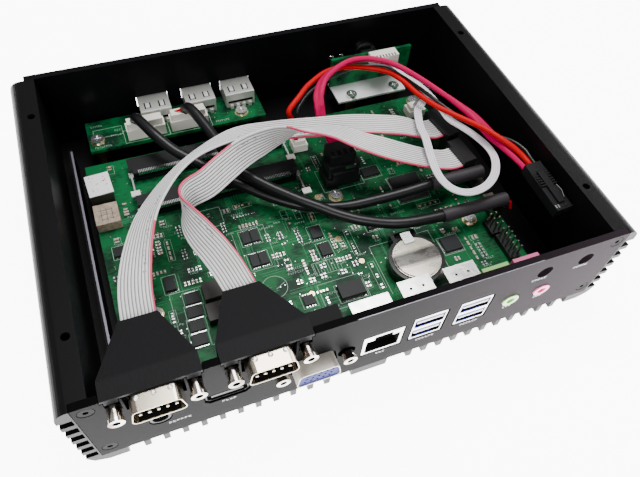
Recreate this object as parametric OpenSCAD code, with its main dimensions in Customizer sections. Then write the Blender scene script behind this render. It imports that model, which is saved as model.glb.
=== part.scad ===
// Fanless box computer, bottom cover off: a finned extruded heatsink body that
// holds the main board, port boards, internal leads and their connectors.
// Origin: centre of the footprint on the resting plane, front panel towards -Y.

/* [Body] */
// Overall width of the extruded body
body_w = 213; // [212:0.5:216]
// Overall depth of the body with its rear panel
body_d = 154; // [153:0.5:156]
// Overall height from the feet to the rim
body_h = 47.5; // [47:0.5:49]
// Thickness of the side walls at the rim
wall_t = 10.6; // [10:0.1:11.5]
// Radius of the outer top edges
edge_r = 4.5; // [3:0.5:5]
// Height of the feet and fins under the floor
fin_h = 5; // [4.5:0.1:5.5]
// Thickness of the floor
floor_t = 4; // [3.5:0.1:4.2]
// Depth of the cooling slots in the side walls
slot_depth = 4.4; // [2:0.1:4.4]
// Height of each cooling slot
slot_h = 3.6; // [2.5:0.1:3.8]
// Distance between the middles of the cooling slots
slot_pitch = 6.08; // [5.9:0.02:6.15]

/* [Panels] */
// Thickness of the front panel
panel_t = 2.7; // [2:0.1:2.9]
// Thickness of the rear panel
rear_t = 3; // [2.5:0.1:3.2]
// Distance between the jackscrews of a D-shaped port
jack_span = 24.99; // [24.9:0.01:25.1]

/* [Main board] */
// Width of the main board
board_w = 167; // [160:1:168]
// Depth of the main board
board_d = 122; // [118:1:123]
// Height of the standoffs under the main board
standoff_h = 5.4; // [5.4:0.1:5.6]
// Thickness of the circuit boards
board_t = 1.6; // [1.5:0.1:1.6]

/* [Hidden] */
$fn = 40;

hw = body_w / 2;
front = -body_d / 2;
rear = body_d / 2;
wall_end = rear - rear_t;
floor_z = fin_h + floor_t;
board_z = floor_z + standoff_h;
top_z = board_z + board_t;
panel_in = front + panel_t;
board_x = -hw + 20;
board_y = front + 3;

// Fastener places, as distances from the outer side and the front
panel_screw_in = 8.9;
panel_screw_z = [body_h - 4.2, body_h - 36.6];
cover_hole_in = 7.4;
cover_hole_y = [front + 24.9, front + 128];
cover_hole_r = 1.5;
main_screw_at = [[-72.6, -35.3], [14.7, -2.2], [76, 44], [66, -33]];
rear_screw_at = [[-78.2, 59.3], [-10.6, 58.4]];
bracket_screw_at = [[45.6, 54], [69, 54]];

// Front ports
serial_x = [-77.44, -40.7];
serial_z = body_h - 6;
video_x = -24.4;
video_z = 24.9;
display_x = -55.7;
display_z = 22.3;
dc_x = -79;
dc_z = 20;
lan_x = 2.7;
lan_w = 16;
lan_h = 13.4;
data_x = [21.2, 40.5];
data_w = 13.4;
data_h = 15.8;
audio_x = [57.8, 72.2];
audio_z = 22;
antenna_x = [67.6, 86.2];
antenna_z = 37.3;
antenna_r = 3.25;
flange_y = panel_in + 0.1;

// Rear port board
port_board_z = 18.1;
port_board_y = 53;
port_board_top = port_board_z + board_t;
rear_port_x = [-49.5, -28.5, -9.5];
rear_port_w = 14;
rear_port_h = 7.3;
plug_top_z = 28.6;
wafer_x = [-56.2, -36.2];
wafer_w = 17.4;
wafer_y = 57.8;

// Power button
button_x = 60;
button_z = 28;
button_r = 5;
button_board_y = 63;

// Internal leads: [x, y, z, tilt] along each middle line; tilt banks a flat
// lead about its run, right-hand edge up
ribbon_w = 12;
ribbon_t = 0.9;
ribbon_1_route = [[-77.2, -48.5, 39.5, 0], [-76.4, -40.2, 41, 3], [-74.8, -32.2, 42, 10],
    [-71.4, -20.9, 42.5, 22], [-66.4, -9.2, 42.5, 33], [-59.4, 0.9, 42.2, 40],
    [-51.3, 9.7, 41.6, 44], [-41.4, 17.4, 40.6, 40], [-27.6, 24, 39.2, 26],
    [-18.5, 26, 38, 14], [-7.5, 26, 36.2, 5], [3.2, 25.2, 35, 0], [15.5, 22.8, 35, 0],
    [30.2, 19.8, 35.2, 0], [44.8, 15, 35, 0], [52.3, 12.6, 34.2, 0], [59.4, 11.3, 31.5, 0],
    [65.6, 11.9, 28.4, 0], [70.8, 12.6, 28, 0]];
ribbon_2_route = [[-41.8, -48.5, 39.5, 0], [-43.7, -39.1, 40, 8], [-46.1, -30.3, 40, 20],
    [-48.9, -22.5, 40, 35], [-51.6, -13.9, 40.4, 60], [-52.2, -6.9, 41, 90],
    [-48.7, -2.5, 41.2, 115], [-40.8, 0.6, 41.4, 130], [-32.4, 6, 41.5, 135],
    [-25.3, 10.4, 41.5, 130], [-19.5, 13.1, 41.5, 120], [-13.7, 15.1, 41.3, 108],
    [-7.7, 16.6, 41.3, 92], [-2, 17, 41.5, 72], [4.4, 16.3, 41.6, 42], [13.2, 14.2, 41, 26],
    [20.4, 11.2, 40.2, 15], [27.9, 5.4, 39, 8], [37.6, -0.1, 36.8, 0], [47.4, -3.9, 33.8, 0],
    [56.9, -6.1, 30.4, 0], [65, -7.3, 28.2, 0], [70.8, -7, 28, 0]];
port_cable_d = 4.7;
port_cable_1_route = [[-60, 58, 28.3], [-59.4, 56, 31.3], [-57.4, 50.5, 32.4],
    [-53.8, 42.3, 32], [-47.5, 33.4, 29], [-38.9, 25, 26.5], [-32.2, 17.6, 25],
    [-25.4, 10.4, 24.4], [-15.6, 2, 22.5], [-4.5, -5.5, 21], [6.2, -10, 20.6],
    [16.1, -12.8, 21], [27.6, -14.5, 22.5], [38.8, -15.7, 24], [48, -16.3, 25.4],
    [54, -16.5, 26]];
port_cable_2_route = [[-37.4, 58, 28.3], [-36.4, 56.2, 31.3], [-34.8, 52, 32.6],
    [-32.9, 46, 32.2], [-30.1, 36.5, 31], [-27.4, 25, 30], [-24.2, 14.5, 29.2],
    [-16.5, 4, 28.2], [-5.5, -7, 27], [2.1, -13.2, 26], [8.1, -18, 25],
    [16.3, -23.6, 24.4], [25.8, -28.2, 24], [33.7, -31, 24.4], [42.2, -32.6, 25],
    [51, -33.6, 25.5]];
sleeve_r = 2.9;
sleeve_at = [[53, 78.5, -16.5, 26], [50, 81, -33.6, 25.5]];
data_cable_w = 4.6;
data_cable_t = 2.2;
data_route = [[19, 12.6, 31.4, 0], [18.9, 15, 32.2, 0], [18.8, 20, 32.6, 0],
    [18.8, 28.6, 32.8, 0], [18.8, 31.2, 35.2, 0], [18.8, 33, 39, 12], [19.8, 36.4, 41.6, 25],
    [25.3, 43.4, 43.5, 42], [37, 49.5, 44.3, 50], [47.3, 49.8, 44.3, 50], [55.9, 45.7, 44.2, 48],
    [61.5, 39.9, 44, 45], [66.7, 31.4, 43.6, 45], [71.4, 22.3, 43, 45], [76.2, 13.4, 42, 38],
    [80.8, 4.4, 40.5, 20], [82.9, -2.3, 39.3, 5], [84.2, -8.6, 38.6, 0], [86.4, -14.5, 38, 15],
    [88, -22.9, 37.6, 40], [87.8, -30.8, 38.4, 60]];
red_wire_d = 2.4;
red_route = [[7.6, 31, 21.6], [7.6, 32, 26], [6.6, 33.2, 31], [5, 33.6, 35], [5.2, 34.2, 38],
    [10.5, 38, 40], [18.7, 44.8, 40.8], [31, 51.1, 40.6], [44.2, 49.6, 40.4],
    [55.5, 43.5, 40.4], [60.4, 36.1, 40.4], [63.8, 24.1, 40.4], [67.9, 14.4, 40.6],
    [72.7, 6.4, 41], [77.5, -1, 41.5], [81, -6.5, 41.8], [84.2, -12.4, 41.6],
    [87.9, -18.2, 40.6], [90.2, -22.8, 39.4], [91, -26.3, 38.8], [91, -30.8, 38.9]];
black_wire_d = 1.6;
black_route = [[10.4, 31, 21.6], [10.4, 32.2, 26], [9.8, 33.8, 31], [9.2, 35, 35],
    [11.8, 37.6, 36.6], [17.9, 42.3, 38], [30.2, 48.5, 38.6], [45.5, 52, 38.2],
    [58.2, 48.8, 38.6], [62.5, 40.1, 39], [66.7, 29.5, 39.4], [70.4, 18.5, 39.6],
    [74.7, 9.7, 38.8], [79.9, 2.9, 37.8], [83.8, -2.2, 36.4], [87.5, -7.5, 36.8],
    [89.8, -11.4, 38], [91.9, -15.9, 39], [93.4, -21, 39.2], [93.6, -25, 38.8],
    [93.2, -30.8, 38.9]];
button_cable_w = 3.6;
button_cable_t = 1;
button_route = [[63.8, 57.7, 33, 0], [63.5, 54, 34.4, 0], [63.5, 49.7, 35.5, 0],
    [65.8, 41.4, 36.4, 0], [69.5, 34, 36.4, 0], [71.5, 25.3, 36.4, 0], [72.8, 16.6, 36, 0],
    [73.6, 9.3, 35.4, 0], [76.9, 3.4, 35, 0], [80.1, -3.4, 34.8, 0], [82.1, -11.6, 34.8, 0],
    [81.3, -18.7, 34.8, 0], [77.3, -25.5, 34.8, 0], [71.5, -30, 34.6, 0],
    [65.4, -31.7, 34.4, 0], [60.1, -31, 34.2, 0], [55.9, -27.5, 34, 0], [53.9, -22.2, 34, 0],
    [53.7, -16, 34.4, 0], [54.8, -9, 35, 0], [57.1, 1.2, 36, 0],
    [57.8, 7.5, 36.2, 0], [60.6, 15.5, 35.6, 0], [63.3, 20.4, 34.6, 0],
    [68, 25, 33.4, 0], [71.6, 29.4, 31, 0], [72.6, 33.4, 27, 0], [72.5, 36, 21.6, 0]];
// [x, y, turn, length] of the ribbon sockets
socket_at = [[73, 13, 10, 18], [73, -6, 6, 14]];

// ---------- helpers ----------
module sides() {
    children();
    mirror([1, 0, 0]) children();
}

// A box by its lowest and highest corners
module span(a, b) translate(a) cube([b[0] - a[0], b[1] - a[1], b[2] - a[2]]);

// A cylinder along +Y from y0 to y1
module rod_y(x, z, y0, y1, r, n = 40) {
    translate([x, y0, z]) rotate([-90, 0, 0]) cylinder(h = y1 - y0, r = r, $fn = n);
}

// An upright cylinder
module post(x, y, z0, z1, r) translate([x, y, z0]) cylinder(h = z1 - z0, r = r);

// A flat outline drawn in X and Z, extruded along +Y from y0 to y1
module plate_y(y0, y1) {
    translate([0, y1, 0]) rotate([90, 0, 0]) linear_extrude(y1 - y0) children();
}

function arc(cx, cy, r, a0, a1, n = 4) =
    [for (i = [0:n]) [cx + r * cos(a0 + (a1 - a0) * i / n), cy + r * sin(a0 + (a1 - a0) * i / n)]];

// Outline of a D-shaped shell with its wide side down
function d_outline(w, h, r) =
    let (s = h * tan(10), bx = w / 2 - 1.19 * r, tx = w / 2 - s - 0.84 * r)
    concat(arc(bx, -h / 2 + r, r, -90, 10), arc(tx, h / 2 - r, r, 10, 90),
        arc(-tx, h / 2 - r, r, 90, 170), arc(-bx, -h / 2 + r, r, 170, 270));

// Frames along a route: unit run, then the banked width direction and its normal
function unit(v) = v / norm(v);
function xyz(p) = [p[0], p[1], p[2]];
function run_dir(route, i) = let (a = max(i - 1, 0), b = min(i + 1, len(route) - 1))
    unit(xyz(route[b]) - xyz(route[a]));
function level_dir(t) = abs(t[2]) > 0.97 ? [0, -1, 0] : unit(cross(t, [0, 0, 1]));
function ring(route, i, section) =
    let (t = run_dir(route, i), r = level_dir(t), u = cross(r, t),
        tilt = len(route[i]) > 3 ? route[i][3] : 0,
        w = r * cos(tilt) + u * sin(tilt), n = cross(w, t))
    [for (p = section) xyz(route[i]) + w * p[0] + n * p[1]];

// One closed tube swept through the route's points
module sweep(route, section) {
    m = len(section);
    last = len(route) - 1;
    points = [for (i = [0:last]) each ring(route, i, section)];
    walls = [for (i = [0:last - 1], j = [0:m - 1])
        let (a = i * m + j, b = i * m + (j + 1) % m) each [[a, a + m, b + m], [a, b + m, b]]];
    caps = [[for (j = [0:m - 1]) j], [for (j = [m - 1:-1:0]) last * m + j]];
    polyhedron(points = points, faces = concat(walls, caps));
}

function round_section(d) = [for (k = [0:7]) [cos(k * 45), sin(k * 45)] * d / 2];
function flat_section(w, t) = [[-w / 2, -t / 2], [w / 2, -t / 2], [w / 2, t / 2], [-w / 2, t / 2]];

// ---------- body and panels ----------
module wall_outline() {
    slot_top = body_h - 8.1 + slot_h / 2;
    difference() {
        polygon(concat(
            [[-hw + wall_t, body_h], [-hw + wall_t, fin_h], [-hw + 13.6, fin_h],
                [-hw + 13.6, 0], [-hw + 6.6, 0], [-hw + 1.8, 2.4], [-hw, 6.4]],
            arc(-hw + edge_r, body_h - edge_r, edge_r, 180, 90, 8)));
        for (i = [0:5])
            translate([-hw - 1, slot_top - slot_h - i * slot_pitch])
                square([slot_depth + 1, slot_h]);
    }
}

module body_outline() {
    sides() wall_outline();
    translate([-hw + 6, fin_h]) square([body_w - 12, floor_t]);
    sides() for (k = [0:10])
        translate([-hw + 19.1 + 6.87 * k, 0]) square([2.2, fin_h + 0.5]);
    translate([-7.5, 0]) square([15, fin_h + 0.5]);
}

module heatsink_body() color([0.1, 0.1, 0.11]) {
    difference() {
        union() {
            plate_y(front, wall_end) body_outline();
            span([-hw + 15.2, front + 22, floor_z - 1], [-hw + 16.8, front + 132, 21.5]);
        }
        span([-hw + 4.9, front - 1, fin_h], [hw - 4.9, panel_in + 0.05, body_h + 1]);
        sides() for (y = cover_hole_y)
            post(hw - cover_hole_in, y, body_h - 9, body_h + 1, cover_hole_r);
        sides() for (z = panel_screw_z) {
            rod_y(hw - panel_screw_in, z, panel_in - 1, panel_in + 9, 1.25);
            rod_y(hw - panel_screw_in, z, wall_end - 9, wall_end + 1, 1.25);
        }
    }
}

// Countersunk hole through a panel that faces +1 or -1 along Y
module sunk_hole(x, z, y_out, depth, face) {
    translate([x, y_out, z]) rotate([face * -90, 0, 0]) {
        translate([0, 0, -depth - 1]) cylinder(h = depth + 2, r = 1.5);
        translate([0, 0, -1.2]) cylinder(h = 1.7, r1 = 1.7, r2 = 3.3);
    }
}

module front_panel() color([0.25, 0.24, 0.26]) difference() {
    span([-hw + 5.1, front, fin_h + 0.05], [hw - 5.1, panel_in, body_h]);
    for (x = serial_x) {
        plate_y(front - 1, panel_in + 1) translate([x - 9.4, serial_z - 5.2])
            square([18.8, 20]);
        for (s = [-1, 1])
            plate_y(front - 1, panel_in + 1)
                translate([x + s * jack_span / 2 - 2.3, serial_z - 3]) square([4.6, 20]);
        plate_y(front - 1, panel_in + 1) translate([x - 15.7, serial_z + 4.3]) square([31.4, 20]);
    }
    plate_y(front - 1, panel_in + 1) translate([video_x, video_z]) {
        polygon(d_outline(19.2, 10.6, 2.6));
        for (s = [-1, 1]) translate([s * jack_span / 2, 0]) circle(r = 3.4);
    }
    plate_y(front - 1, panel_in + 1) translate([display_x, display_z]) {
        polygon([[-8.1, 3.3], [8.1, 3.3], [8.1, -1.2], [6.4, -3.1], [-6.4, -3.1], [-8.1, -1.2]]);
    }
    rod_y(dc_x, dc_z, front - 1, panel_in + 1, 3.9);
    span([lan_x - lan_w / 2 - 0.4, front - 1, top_z - 0.2],
        [lan_x + lan_w / 2 + 0.4, panel_in + 1, top_z + lan_h + 0.5]);
    for (x = data_x)
        span([x - data_w / 2 - 0.7, front - 1, top_z - 0.2],
            [x + data_w / 2 + 0.7, panel_in + 1, top_z + data_h + 0.6]);
    for (x = audio_x) rod_y(x, audio_z, front - 1, panel_in + 1, 3.8);
    for (x = antenna_x) rod_y(x, antenna_z, front - 1, panel_in + 1, antenna_r);
    sides() for (z = panel_screw_z) sunk_hole(hw - panel_screw_in, z, front, panel_t, -1);
}

module rear_panel() color([0.12, 0.12, 0.13]) difference() {
    span([-hw + 6.5, wall_end, fin_h + 0.05], [hw - 6.5, rear, body_h]);
    for (x = rear_port_x)
        span([x - rear_port_w / 2 - 0.4, wall_end - 1, port_board_top - 0.4],
            [x + rear_port_w / 2 + 0.4, rear + 1, port_board_top + rear_port_h + 0.5]);
    rod_y(button_x, button_z, wall_end - 1, rear + 1, button_r + 0.3);
    for (x = [button_x - 13, button_x - 18]) rod_y(x, button_z, wall_end - 1, rear + 1, 1.5);
    sides() for (z = panel_screw_z) sunk_hole(hw - panel_screw_in, z, rear, rear_t, 1);
}

// Countersunk screw whose head is flush at y_out
module panel_screw(x, z, y_out, face) {
    translate([x, y_out, z]) rotate([face * -90, 0, 0]) difference() {
        union() {
            translate([0, 0, -9.5]) cylinder(h = 9.4, r = 1.2);
            translate([0, 0, -1.3]) cylinder(h = 1.2, r1 = 1.3, r2 = 2.5);
        }
        translate([0, 0, -0.9]) cylinder(h = 2, r = 1, $fn = 6);
    }
}

module panel_screws() color([0.08, 0.08, 0.08]) sides() for (z = panel_screw_z) {
    panel_screw(hw - panel_screw_in, z, front, -1);
    panel_screw(hw - panel_screw_in, z, rear, 1);
}

// ---------- main board ----------
module main_board() color([0.05, 0.42, 0.22]) difference() {
    span([board_x, board_y, board_z], [board_x + board_w, board_y + board_d, top_z]);
    for (p = main_screw_at) post(p[0], p[1], board_z - 1, top_z + 1, 1.6);
}

module hex_post(x, y, z0, z1, bore) difference() {
    translate([x, y, z0]) cylinder(h = z1 - z0, r = 2.8, $fn = 6);
    translate([x, y, z0 + 0.8]) cylinder(h = z1 - z0, r = bore);
}

module board_standoffs() color([0.75, 0.65, 0.4]) {
    for (p = main_screw_at) hex_post(p[0], p[1], floor_z, board_z, 1.3);
    for (p = rear_screw_at) hex_post(p[0], p[1], floor_z, port_board_z, 1.3);
    for (p = bracket_screw_at) hex_post(p[0], p[1], floor_z, port_board_z, 1.3);
}

module pan_screw(x, y, z, len_under) translate([x, y, z]) difference() {
    union() {
        cylinder(h = 1.5, r = 2.7);
        translate([0, 0, -len_under]) cylinder(h = len_under + 0.5, r = 1.25);
    }
    for (a = [0, 90]) rotate([0, 0, a]) translate([-1.7, -0.3, 0.7]) cube([3.4, 0.6, 2]);
}

module board_screws() color([0.8, 0.8, 0.82]) {
    for (p = main_screw_at) pan_screw(p[0], p[1], top_z, 5.4);
    for (p = rear_screw_at) pan_screw(p[0], p[1], port_board_top, 6);
    for (p = bracket_screw_at) pan_screw(p[0], p[1], port_board_z + 1, 6);
}

module processor() color([0.15, 0.3, 0.2]) {
    span([-16, -26, floor_z + 3.6], [10, 0, board_z]);
    span([-9, -18, floor_z + 3], [3, -8, floor_z + 3.6]);
}

module heat_block() color([0.8, 0.5, 0.35]) span([-24, -34, floor_z], [11, 8, floor_z + 3]);

// A small-outline memory socket: long slotted bar with short end blocks
module memory_socket(x0, x1, y0, y1) color([0.1, 0.1, 0.1]) difference() {
    span([x0, y0, top_z], [x1, y1, top_z + 5.2]);
    span([x0 + 2.6, y0 - 1, top_z + 2.2], [x1 - 2.6, y0 + 4.5, top_z + 3.6]);
    span([x0 - 1, y0 - 1, top_z - 1], [x0 + 1.6, y0 + 3, top_z + 6]);
    span([x1 - 1.6, y0 - 1, top_z - 1], [x1 + 1, y0 + 3, top_z + 6]);
}

mem_x = [-68.5, 2.5];
mem_y = [[33, 42.5], [12, 20.5]];
module memory_socket_1() memory_socket(mem_x[0], mem_x[1], mem_y[0][0], mem_y[0][1]);
module memory_socket_2() memory_socket(mem_x[0], mem_x[1], mem_y[1][0], mem_y[1][1]);

// Spring latch: a thin arm with a hooked tab; side is -1 for left, 1 for right
module memory_latch(x, y, side) color([0.85, 0.85, 0.82])
    translate([x, y, top_z + 0.3]) mirror([side < 0 ? 1 : 0, 0, 0]) {
        span([-0.3, -11.2, 0.2], [0.4, 2.6, 3]);
        span([-1.4, -11.8, 0.2], [1.4, -9, 3.8]);
        span([-0.9, -0.4, 0.2], [1, 2.6, 3.2]);
    }
module memory_latch_1_left() memory_latch(mem_x[0] + 0.5, mem_y[0][0], -1);
module memory_latch_1_right() memory_latch(mem_x[1] - 0.5, mem_y[0][0], 1);
module memory_latch_2_left() memory_latch(mem_x[0] + 0.5, mem_y[1][0], -1);
module memory_latch_2_right() memory_latch(mem_x[1] - 0.5, mem_y[1][0], 1);

// ---------- battery ----------
cell_at = [31.5, -47.5];
module battery_holder() color([0.1, 0.1, 0.1]) translate([cell_at[0], cell_at[1], top_z]) {
    difference() {
        union() {
            cylinder(h = 6.3, r = 11.6);
            span([-5.5, 8, 0], [5.5, 14.4, 5.6]);
        }
        translate([0, 0, 4]) cylinder(h = 4, r = 10.1);
        translate([-4, 6, 4]) cube([8, 8, 4]);
    }
}

module battery_clip() color([0.85, 0.84, 0.8]) translate([cell_at[0], cell_at[1], top_z]) {
    span([-2.2, 7, 7.4], [2.2, 12.4, 7.8]);
    span([-2.2, 11.8, 5.7], [2.2, 12.4, 7.6]);
}

module coin_cell() color([0.8, 0.8, 0.78]) translate([cell_at[0], cell_at[1], top_z + 4.05]) {
    cylinder(h = 2.7, r = 10);
    cylinder(h = 3.2, r = 9.4);
}

// ---------- front ports ----------
module d_tube(x, z, w, y0, y1) plate_y(y0, y1) translate([x, z]) difference() {
    polygon(d_outline(w, w / 2, 2));
    polygon(d_outline(w - 0.8, w / 2 - 0.8, 1.6));
}

module d_flange(x, z, w, open_w) plate_y(flange_y, flange_y + 0.8) translate([x, z]) difference() {
    translate([-w / 2, -6.1]) square([w, 11.2]);
    polygon(d_outline(open_w - 0.8, open_w / 2 - 0.8, 1.6));
    for (s = [-1, 1]) translate([s * jack_span / 2, 0]) circle(r = 1.6);
}

module serial_port(i) color([0.78, 0.74, 0.66]) {
    d_tube(serial_x[i], serial_z, 17.6, flange_y - 8.6, flange_y + 0.4);
    d_flange(serial_x[i], serial_z, 30.8, 17.6);
}
module serial_port_1() serial_port(0);
module serial_port_2() serial_port(1);

module serial_inserts() for (x = serial_x) {
    color([0.08, 0.08, 0.08]) plate_y(flange_y - 2, flange_y + 3.4) translate([x, serial_z])
        polygon(d_outline(16.6, 7.8, 1.5));
    color([0.85, 0.75, 0.5]) {
        for (k = [-2:2]) rod_y(x + 2.77 * k, serial_z - 1.42, flange_y - 7.4, flange_y - 2, 0.5);
        for (k = [-2:1]) rod_y(x + 2.77 * (k + 0.5), serial_z + 1.42, flange_y - 7.4, flange_y - 2, 0.5);
    }
}

// Jackscrew: round neck, flared round head with a threaded bore, thin shank behind
module jackscrew(x, z, proud) difference() {
    union() {
        rod_y(x, z, front - proud + 1, flange_y, 2.25);
        rod_y(x, z, front - proud, front - proud + 1.3, 2.6);
        rod_y(x, z, flange_y - 1, flange_y + 3, 1.5);
    }
    rod_y(x, z, front - proud - 1, front - proud + 5, 1.25);
}

module jackscrews() color([0.85, 0.83, 0.8]) for (s = [-1, 1]) {
    for (x = serial_x) jackscrew(x + s * jack_span / 2, serial_z, 5.4);
    jackscrew(video_x + s * jack_span / 2, video_z, 3.8);
}

module video_port() color([0.8, 0.78, 0.72]) {
    d_tube(video_x, video_z, 17.2, flange_y - 8.4, flange_y + 0.4);
    d_flange(video_x, video_z, 30.8, 17.2);
}

module video_insert() color([0.22, 0.26, 0.7]) difference() {
    union() {
        plate_y(flange_y - 8, flange_y + 1.5) translate([video_x, video_z])
            polygon(d_outline(16.2, 7.6, 1.5));
        span([video_x - 15, flange_y + 0.85, top_z + 0.05], [video_x + 15, flange_y + 14, top_z + 14.2]);
    }
    for (row = [-1:1], k = [-2:2])
        rod_y(video_x + 2.29 * k + row * 0.6, video_z + 1.98 * row, flange_y - 9, flange_y - 3, 0.45, 16);
    for (s = [-1, 1]) rod_y(video_x + s * jack_span / 2, video_z, flange_y, flange_y + 3.4, 1.9);
}

module display_socket() color([0.12, 0.12, 0.12]) translate([display_x, 0, display_z]) difference() {
    union() {
        plate_y(front + 0.6, front + 13) polygon([[-7.6, 2.9], [7.6, 2.9], [7.6, -1.3],
            [6, -2.7], [-6, -2.7], [-7.6, -1.3]]);
        span([-6, front + 4, top_z - display_z], [6, front + 13, -2.5]);
    }
    plate_y(front, front + 10) difference() {
        polygon([[-7.1, 2.4], [7.1, 2.4], [7.1, -1.1], [5.7, -2.2], [-5.7, -2.2], [-7.1, -1.1]]);
        translate([-5.6, -0.2]) square([11.2, 1.4]);
    }
}

module dc_jack() color([0.07, 0.07, 0.07]) {
    difference() {
        union() {
            span([dc_x - 4.6, flange_y, top_z + 0.02], [dc_x + 4.6, flange_y + 13, top_z + 8.4]);
            rod_y(dc_x, dc_z, front + 0.3, flange_y + 1, 3.6);
        }
        rod_y(dc_x, dc_z, front - 1, flange_y + 9, 2.75);
    }
    rod_y(dc_x, dc_z, front + 2, flange_y + 9.5, 1);
}

module network_port() color([0.8, 0.8, 0.78]) difference() {
    span([lan_x - lan_w / 2, front + 0.2, top_z], [lan_x + lan_w / 2, front + 15.5, top_z + lan_h]);
    span([lan_x - 6.8, front - 1, top_z + 1.2], [lan_x + 6.8, front + 12.5, top_z + 10]);
    span([lan_x - 3.6, front - 1, top_z + 9], [lan_x + 3.6, front + 6, top_z + 12.2]);
}

module data_port(i) color([0.82, 0.82, 0.8]) difference() {
    span([data_x[i] - data_w / 2, front + 0.2, top_z], [data_x[i] + data_w / 2, front + 16.7, top_z + data_h]);
    for (k = [0, 1])
        span([data_x[i] - data_w / 2 + 0.5, front - 1, top_z + 1 + 7.6 * k],
            [data_x[i] + data_w / 2 - 0.5, front + 12, top_z + 7 + 7.6 * k]);
}
module data_port_1() data_port(0);
module data_port_2() data_port(1);

module port_tongues() color([0.25, 0.28, 0.72]) {
    for (x = data_x, k = [0, 1])
        span([x - 5.6, front + 0.3, top_z + 4.2 + 7.6 * k], [x + 5.6, front + 12, top_z + 6.1 + 7.6 * k]);
    for (x = rear_port_x)
        span([x - 5.6, rear - 10, port_board_top + 3.9], [x + 5.6, rear - 1, port_board_top + 5.7]);
}

module audio_jack(i) {
    difference() {
        union() {
            span([audio_x[i] - 6, flange_y, top_z + 0.02], [audio_x[i] + 6, flange_y + 11.5, top_z + 10]);
            rod_y(audio_x[i], audio_z, front - 0.4, flange_y + 1, 3.5);
        }
        rod_y(audio_x[i], audio_z, front - 1, flange_y + 9, 1.78);
    }
}
module audio_jack_green() color([0.6, 0.82, 0.45]) audio_jack(0);
module audio_jack_pink() color([0.88, 0.45, 0.65]) audio_jack(1);

// ---------- rear port board ----------
module rear_port_board() color([0.05, 0.45, 0.25]) difference() {
    span([-82.2, port_board_y, port_board_z], [0.1, port_board_y + 19, port_board_top]);
    for (p = rear_screw_at) post(p[0], p[1], port_board_z - 1, port_board_top + 1, 1.6);
}

module rear_port(i) color([0.82, 0.82, 0.8]) {
    x = rear_port_x[i];
    difference() {
        span([x - rear_port_w / 2, rear - 14, port_board_top], [x + rear_port_w / 2, rear - 0.3, port_board_top + rear_port_h]);
        span([x - rear_port_w / 2 + 0.6, rear - 10, port_board_top + 0.7],
            [x + rear_port_w / 2 - 0.6, rear + 1, port_board_top + rear_port_h - 0.7]);
    }
}
module rear_port_1() rear_port(0);
module rear_port_2() rear_port(1);
module rear_port_3() rear_port(2);

// ---------- wafer headers and plugs ----------
power_wafer_at = [9, 31];
button_wafer_at = [72.5, 36];
module wafer_header(x, y, z, w, h) difference() {
    span([x - w / 2, y - 3, z], [x + w / 2, y + 3, z + h]);
    span([x - w / 2 + 0.8, y - 2.2, z + 1.5], [x + w / 2 - 0.8, y + 2.2, z + h + 1]);
}

module wafer_headers() color([0.92, 0.9, 0.85]) {
    for (x = wafer_x) wafer_header(x, wafer_y, port_board_top, wafer_w, 5.6);
    wafer_header(power_wafer_at[0], power_wafer_at[1], top_z, 7, 4);
    wafer_header(button_wafer_at[0], button_wafer_at[1], top_z, 9, 4);
    span([56.6, button_board_y - 5.8, 31.4], [70.8, button_board_y, 36.6]);
}

module wafer_plug(x, y, z, w, h) span([x - w / 2 + 0.9, y - 2.1, z + 1.6], [x + w / 2 - 0.9, y + 2.1, z + h]);

module wafer_plugs() color([0.95, 0.93, 0.88]) {
    for (x = wafer_x) wafer_plug(x, wafer_y, port_board_top, wafer_w, plug_top_z - port_board_top);
    wafer_plug(power_wafer_at[0], power_wafer_at[1], top_z, 7, 6);
    wafer_plug(button_wafer_at[0], button_wafer_at[1], top_z, 9, 6);
}

// ---------- power button ----------
module button_board() color([0.05, 0.45, 0.25]) difference() {
    span([37.2, button_board_y, port_board_z + 1.3], [80.5, button_board_y + board_t, 35.5]);
    for (x = [42, 66]) rod_y(x, 23.2, button_board_y - 1, button_board_y + 3, 1.3);
}

module button_bracket() color([0.82, 0.82, 0.83]) difference() {
    span([37.5, button_board_y - 12, port_board_z], [74.5, button_board_y + board_t + 1.5, port_board_z + 1]);
    for (p = bracket_screw_at) post(p[0], p[1], port_board_z - 1, port_board_z + 3, 1.6);
}

module power_switch() color([0.1, 0.1, 0.1])
    span([button_x - 4, button_board_y + board_t, button_z - 4], [button_x + 4, wall_end - 3.4, button_z + 4]);

module power_button() color([0.8, 0.8, 0.82]) difference() {
    union() {
        rod_y(button_x, button_z, wall_end - 1.6, rear + 0.8, button_r);
        rod_y(button_x, button_z, wall_end - 1.8, wall_end - 0.3, button_r + 1);
    }
    rod_y(button_x, button_z, rear + 0.5, rear + 2, button_r - 1.2);
}

// ---------- drive socket ----------
module drive_socket() color([0.08, 0.08, 0.08]) span([12, 2.5, top_z], [28.5, 12, top_z + 5]);

module drive_plug() color([0.12, 0.12, 0.12]) {
    span([13, 3.2, top_z + 5.02], [27.5, 11.4, 28.2]);
    span([14.5, 1.6, 22], [26, 3.2, 25.5]);
    span([14, 4.6, 28], [25.6, 13.4, 33.6]);
}

// ---------- parts on the board ----------
module inductors() {
    color([0.66, 0.55, 0.45]) span([-86.2, 10, top_z], [-76.6, 20.6, top_z + 4.6]);
    color([0.14, 0.13, 0.12]) {
        span([-86.6, 25, top_z], [-77, 38, top_z + 5.2]);
        span([-53.4, -37.4, top_z], [-45.4, -29.8, top_z + 4]);
        span([-54.2, -46.8, top_z], [-46.2, -39.2, top_z + 4]);
    }
}

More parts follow.
